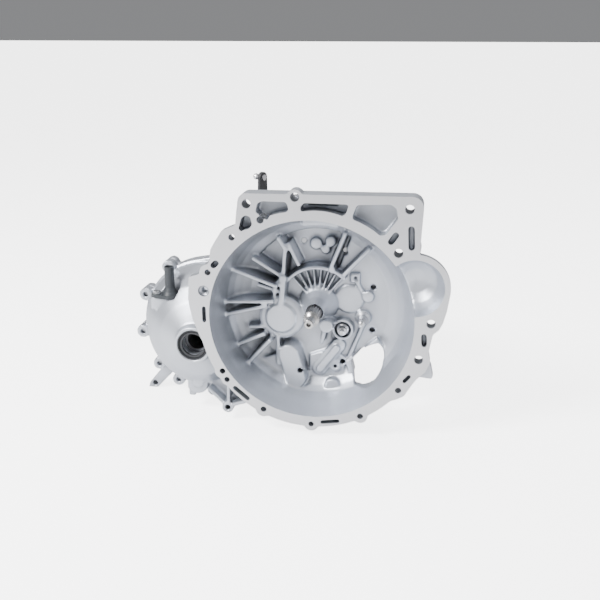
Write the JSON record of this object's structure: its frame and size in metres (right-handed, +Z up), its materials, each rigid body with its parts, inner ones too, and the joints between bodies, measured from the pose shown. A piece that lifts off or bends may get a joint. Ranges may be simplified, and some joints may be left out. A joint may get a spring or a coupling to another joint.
{
  "type": "manual transaxle",
  "caption": "Manual gearbox for a front-wheel-drive car: cast clutch bell and case with shafts, gears, differential, seals, sensor and shift levers.",
  "frame": {"origin": "on the input shaft axis, in the plane of the machined face that bolts to the engine", "axes": "+Y runs into the gearbox along the shafts, +Z is up, +X is to the right of someone at the engine who looks along +Y"},
  "size_m": [0.4996, 0.327, 0.3727],
  "materials": {
    "cast_aluminium": "bead-blasted cast aluminium, machined bright on the joint faces",
    "shaft_steel": "ground steel",
    "gear_steel": "hardened gear steel, oiled",
    "cast_iron_grey": "machined cast iron",
    "bearing_steel": "polished bearing steel",
    "seal_rubber": "black nitrile lip on a coated steel case",
    "stud_steel": "zinc-plated steel",
    "sensor_plastic": "dark grey glass-filled plastic",
    "lever_black": "satin black paint",
    "bolt_zinc": "zinc-plated steel",
    "switch_body": "brass body with a dark plastic socket"
  },
  "bodies": {
    "root": {"clutch_housing": "cast_aluminium", "transaxle_case": "cast_aluminium", "rear_cover": "cast_aluminium", "input_front_bearing": "bearing_steel", "input_rear_bearing": "bearing_steel", "output_front_bearing": "bearing_steel", "output_rear_bearing": "bearing_steel", "differential_front_bearing": "bearing_steel", "differential_rear_bearing": "bearing_steel", "front_axle_seal": "seal_rubber", "rear_axle_seal": "seal_rubber", "input_oil_seal": "seal_rubber", "fork_pivot_stud": "stud_steel", "detent_plug": "stud_steel", "speed_sensor": "sensor_plastic", "speed_sensor_bolt": "bolt_zinc", "select_pivot_bolt": "bolt_zinc", "case_bolts": "bolt_zinc", "cover_bolts": "bolt_zinc", "level_plug": "bolt_zinc", "drain_plug": "bolt_zinc", "reversing_light_switch": "switch_body", "breather": "bolt_zinc"},
    "input": {"input_shaft": "shaft_steel", "input_gear_third": "gear_steel", "input_gear_fourth": "gear_steel", "input_gear_fifth": "gear_steel"},
    "output": {"output_shaft": "shaft_steel", "synchroniser_first_second": "gear_steel", "synchroniser_third_fourth": "gear_steel", "synchroniser_fifth": "gear_steel"},
    "differential": {"differential_case": "cast_iron_grey", "ring_gear": "gear_steel", "ring_gear_bolts": "bolt_zinc", "cross_pin": "shaft_steel"},
    "side_front": {"side_gear_front": "gear_steel"},
    "side_rear": {"side_gear_rear": "gear_steel"},
    "spider_left": {"spider_gear_left": "gear_steel"},
    "spider_right": {"spider_gear_right": "gear_steel"},
    "collar": {"select_collar": "shaft_steel"},
    "shift": {"control_shaft": "shaft_steel", "shift_lever": "lever_black", "shift_ball_stud": "stud_steel"},
    "select": {"select_lever": "lever_black", "select_ball_stud": "stud_steel"},
    "first_speed": {"output_gear_first": "gear_steel"},
    "second_speed": {"output_gear_second": "gear_steel"},
    "third_speed": {"output_gear_third": "gear_steel"},
    "fourth_speed": {"output_gear_fourth": "gear_steel"},
    "fifth_speed": {"output_gear_fifth": "gear_steel"}
  },
  "joints": [
    {"name": "input_spin", "type": "hinge", "parent": "root", "child": "input", "pos_m": [0, 0, 0], "axis": [0, 1, 0], "continuous": true},
    {"name": "first_gear_spin", "type": "hinge", "parent": "root", "child": "first_speed", "pos_m": [-0.056, 0.15, -0.021], "axis": [0, 1, 0], "continuous": true},
    {"name": "second_gear_spin", "type": "hinge", "parent": "root", "child": "second_speed", "pos_m": [-0.056, 0.15, -0.021], "axis": [0, 1, 0], "continuous": true},
    {"name": "third_gear_spin", "type": "hinge", "parent": "root", "child": "third_speed", "pos_m": [-0.056, 0.15, -0.021], "axis": [0, 1, 0], "continuous": true},
    {"name": "fourth_gear_spin", "type": "hinge", "parent": "root", "child": "fourth_speed", "pos_m": [-0.056, 0.15, -0.021], "axis": [0, 1, 0], "continuous": true},
    {"name": "fifth_gear_spin", "type": "hinge", "parent": "root", "child": "fifth_speed", "pos_m": [-0.056, 0.15, -0.021], "axis": [0, 1, 0], "continuous": true},
    {"name": "differential_spin", "type": "hinge", "parent": "root", "child": "differential", "pos_m": [-0.18, 0.1, -0.051], "axis": [0, 1, 0], "continuous": true},
    {"name": "output_spin", "type": "hinge", "parent": "root", "child": "output", "pos_m": [-0.056, 0.1, -0.021], "axis": [0, 1, 0], "continuous": true},
    {"name": "side_front_spin", "type": "hinge", "parent": "differential", "child": "side_front", "pos_m": [-0.18, 0.147, -0.051], "axis": [0, 1, 0], "continuous": true},
    {"name": "side_rear_spin", "type": "hinge", "parent": "differential", "child": "side_rear", "pos_m": [-0.18, 0.147, -0.051], "axis": [0, 1, 0], "continuous": true},
    {"name": "spider_left_spin", "type": "hinge", "parent": "differential", "child": "spider_left", "pos_m": [-0.18, 0.147, -0.051], "axis": [1, 0, 0], "continuous": true},
    {"name": "spider_right_spin", "type": "hinge", "parent": "differential", "child": "spider_right", "pos_m": [-0.18, 0.147, -0.051], "axis": [1, 0, 0], "continuous": true},
    {"name": "select_turn", "type": "hinge", "parent": "root", "child": "select", "pos_m": [-0.083, 0.184, 0.126], "axis": [0, 0, 1], "range_deg": [-20, 20]},
    {"name": "collar_slide", "type": "slide", "parent": "root", "child": "collar", "axis": [1, 0, 0], "range_m": [-0.0073, 0.0073]},
    {"name": "shift_turn", "type": "hinge", "parent": "collar", "child": "shift", "pos_m": [-0.0995, 0.152, 0.126], "axis": [1, 0, 0], "range_deg": [-14, 14]}
  ],
  "couplings": [
    {"joint": "first_gear_spin", "follows": "input_spin", "ratio": -0.2973},
    {"joint": "second_gear_spin", "follows": "input_spin", "ratio": -0.5},
    {"joint": "third_gear_spin", "follows": "input_spin", "ratio": -0.71429},
    {"joint": "fourth_gear_spin", "follows": "input_spin", "ratio": -1},
    {"joint": "fifth_gear_spin", "follows": "input_spin", "ratio": -1.2857},
    {"joint": "output_spin", "follows": "differential_spin", "ratio": -3.2105},
    {"joint": "side_rear_spin", "follows": "side_front_spin", "ratio": -1},
    {"joint": "spider_left_spin", "follows": "side_front_spin", "ratio": -1.625},
    {"joint": "spider_right_spin", "follows": "side_front_spin", "ratio": 1.625},
    {"joint": "collar_slide", "follows": "select_turn", "m_per_rad": 0.0207}
  ]
}
